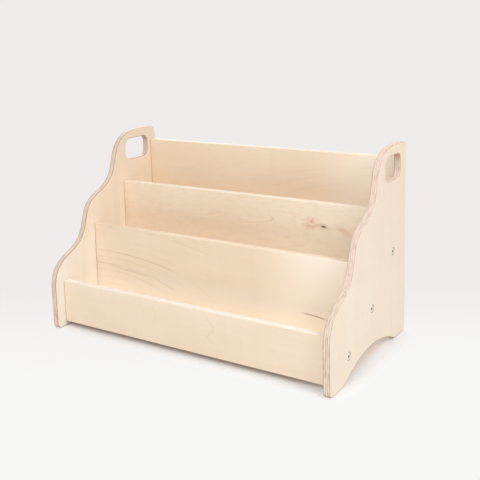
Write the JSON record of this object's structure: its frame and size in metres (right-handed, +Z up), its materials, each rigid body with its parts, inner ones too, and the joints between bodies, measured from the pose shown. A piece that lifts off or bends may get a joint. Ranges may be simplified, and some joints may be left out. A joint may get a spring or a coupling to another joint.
{
  "type": "tiered bookcase",
  "caption": "Low tiered bookcase in birch plywood with wave-edged sides, handle slots and arched feet, which holds books with their covers facing out.",
  "frame": {"origin": "on the floor, under the middle of the bookcase's box", "axes": "+X to the right seen from the front, +Y to the rear, +Z up"},
  "size_m": [0.48, 0.2558, 0.29],
  "materials": {
    "birch_plywood_sides": "clear matt lacquer on birch plywood, layered edges left bare",
    "birch_plywood_boards": "clear matt lacquer on birch plywood",
    "beech_dowel": "plain beech",
    "zinc_plated_steel": "bright zinc plating"
  },
  "bodies": {
    "root": {"back_panel": "birch_plywood_boards", "back_panel_left_lower_dowel": "beech_dowel", "back_panel_left_upper_dowel": "beech_dowel", "back_panel_right_lower_dowel": "beech_dowel", "back_panel_right_upper_dowel": "beech_dowel", "front_panel": "birch_plywood_boards", "front_panel_left_lower_dowel": "beech_dowel", "front_panel_left_upper_dowel": "beech_dowel", "front_panel_right_lower_dowel": "beech_dowel", "front_panel_right_upper_dowel": "beech_dowel", "left_side_panel": "birch_plywood_sides", "lower_shelf": "birch_plywood_boards", "lower_shelf_left_barrel_nut": "zinc_plated_steel", "lower_shelf_left_bolt": "zinc_plated_steel", "lower_shelf_left_dowel": "beech_dowel", "lower_shelf_right_barrel_nut": "zinc_plated_steel", "lower_shelf_right_bolt": "zinc_plated_steel", "lower_shelf_right_dowel": "beech_dowel", "middle_shelf": "birch_plywood_boards", "middle_shelf_left_barrel_nut": "zinc_plated_steel", "middle_shelf_left_bolt": "zinc_plated_steel", "middle_shelf_left_dowel": "beech_dowel", "middle_shelf_right_barrel_nut": "zinc_plated_steel", "middle_shelf_right_bolt": "zinc_plated_steel", "middle_shelf_right_dowel": "beech_dowel", "right_side_panel": "birch_plywood_sides", "second_panel": "birch_plywood_boards", "second_panel_left_lower_dowel": "beech_dowel", "second_panel_left_upper_dowel": "beech_dowel", "second_panel_right_lower_dowel": "beech_dowel", "second_panel_right_upper_dowel": "beech_dowel", "third_panel": "birch_plywood_boards", "third_panel_left_lower_dowel": "beech_dowel", "third_panel_left_upper_dowel": "beech_dowel", "third_panel_right_lower_dowel": "beech_dowel", "third_panel_right_upper_dowel": "beech_dowel", "upper_shelf": "birch_plywood_boards", "upper_shelf_left_barrel_nut": "zinc_plated_steel", "upper_shelf_left_bolt": "zinc_plated_steel", "upper_shelf_left_dowel": "beech_dowel", "upper_shelf_right_barrel_nut": "zinc_plated_steel", "upper_shelf_right_bolt": "zinc_plated_steel", "upper_shelf_right_dowel": "beech_dowel"}
  },
  "joints": []
}
